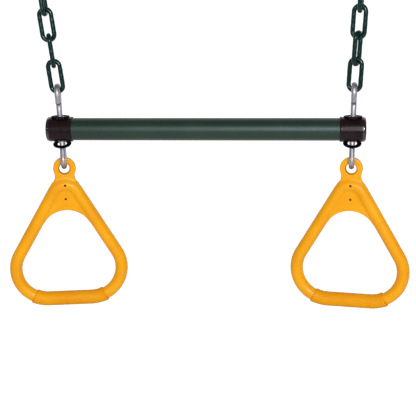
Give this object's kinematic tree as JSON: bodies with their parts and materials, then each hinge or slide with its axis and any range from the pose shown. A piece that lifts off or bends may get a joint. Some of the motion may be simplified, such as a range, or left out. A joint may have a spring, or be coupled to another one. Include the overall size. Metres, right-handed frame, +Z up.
{
  "type": "trapeze bar",
  "caption": "Trapeze bar for a play swing: a capped steel bar hung on coated chains, with a triangular hand ring below each end.",
  "frame": {"origin": "on the line between the two points that the S-hooks hang from, straight above the middle of the bar", "axes": "+X along the bar to the right, -Y towards the front, +Z up"},
  "size_m": [0.5779, 0.0438, 0.5149],
  "materials": {
    "tube": "dark green powder coat on steel",
    "cap": "soft brown-black vinyl, slightly glossy",
    "washer": "glossy black",
    "zinc": "bright zinc plated wire",
    "chain": "dark green soft coating on steel wire",
    "ring": "moulded yellow plastic",
    "grip": "moulded yellow plastic sleeve"
  },
  "bodies": {
    "hooks": {"s_hook_left": "zinc", "s_hook_right": "zinc"},
    "links_4": {"chain_link_left_4": "chain", "chain_link_right_4": "chain"},
    "links_3": {"chain_link_left_3": "chain", "chain_link_right_3": "chain"},
    "links_2": {"chain_link_left_2": "chain", "chain_link_right_2": "chain"},
    "links_1": {"chain_link_left_1": "chain", "chain_link_right_1": "chain"},
    "rods": {"rod_left": "zinc", "rod_right": "zinc", "lower_washer_left": "washer", "lower_washer_right": "washer"},
    "bar": {"bar_tube": "tube", "cap_left": "cap", "cap_right": "cap", "upper_washer_left": "washer", "upper_washer_right": "washer"},
    "left_ring": {"ring_left": "ring", "ring_grip_left": "grip"},
    "right_ring": {"ring_right": "ring", "ring_grip_right": "grip"}
  },
  "joints": [
    {"name": "swing_at_hooks", "type": "hinge", "parent": "hooks", "child": "links_4", "pos_m": [-0.22406, 0, -0.04482], "axis": [1, 0, 0.0044], "range_deg": [-45, 45]},
    {"name": "bend_at_link_3", "type": "hinge", "parent": "links_4", "child": "links_3", "pos_m": [-0.22062, 0, -0.07325], "axis": [1, 0, 0.004], "range_deg": [-9, 9]},
    {"name": "bend_at_link_2", "type": "hinge", "parent": "links_3", "child": "links_2", "pos_m": [-0.21541, 0, -0.11633], "axis": [1, 0, 0.0035], "range_deg": [-9, 9]},
    {"name": "bend_at_link_1", "type": "hinge", "parent": "links_2", "child": "links_1", "pos_m": [-0.2119, 0, -0.14532], "axis": [1, 0, 0.0032], "range_deg": [-9, 9]},
    {"name": "bend_at_rods", "type": "hinge", "parent": "links_1", "child": "rods", "pos_m": [-0.20669, 0, -0.18841], "axis": [1, 0, 0.0027], "range_deg": [-22, 22]},
    {"name": "bar_slide", "type": "slide", "parent": "rods", "child": "bar", "axis": [0, 0, 1], "range_m": [-0.0005, 0.004]},
    {"name": "left_ring_swing", "type": "hinge", "parent": "rods", "child": "left_ring", "pos_m": [-0.20289, 0, -0.29619], "axis": [-0.1547, 0.988, 0], "range_deg": [-60, 60]},
    {"name": "right_ring_swing", "type": "hinge", "parent": "rods", "child": "right_ring", "pos_m": [0.20556, 0, -0.29512], "axis": [0.1685, 0.9857, 0], "range_deg": [-60, 60]}
  ]
}
